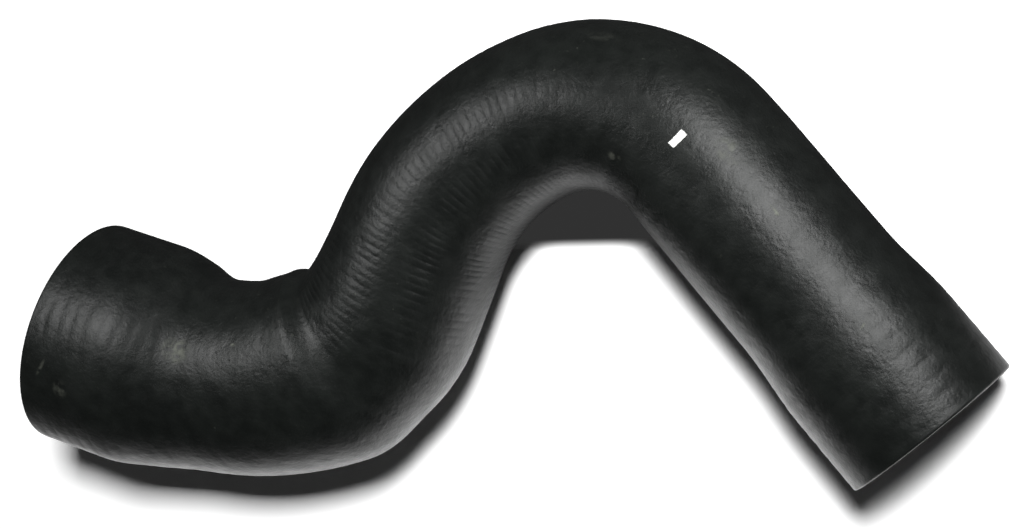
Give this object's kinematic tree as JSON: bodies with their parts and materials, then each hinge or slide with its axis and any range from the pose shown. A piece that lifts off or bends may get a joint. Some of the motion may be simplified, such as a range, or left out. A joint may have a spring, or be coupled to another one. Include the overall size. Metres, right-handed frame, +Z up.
{
  "type": "charge air hose",
  "caption": "Moulded black rubber hose that carries charge air, bent in an elbow and a crook, with a wide cuff at one end and a narrow cuff at the other.",
  "frame": {"origin": "middle of the hose's footprint, on the surface it lies on", "axes": "+X along the hose's longest extent, from the wide end to the narrow end; +Z up from the surface it lies on"},
  "size_m": [0.337, 0.1504, 0.0804],
  "materials": {
    "black_rubber": "satin"
  },
  "bodies": {
    "root": {"air_hose": "black_rubber"}
  },
  "joints": []
}
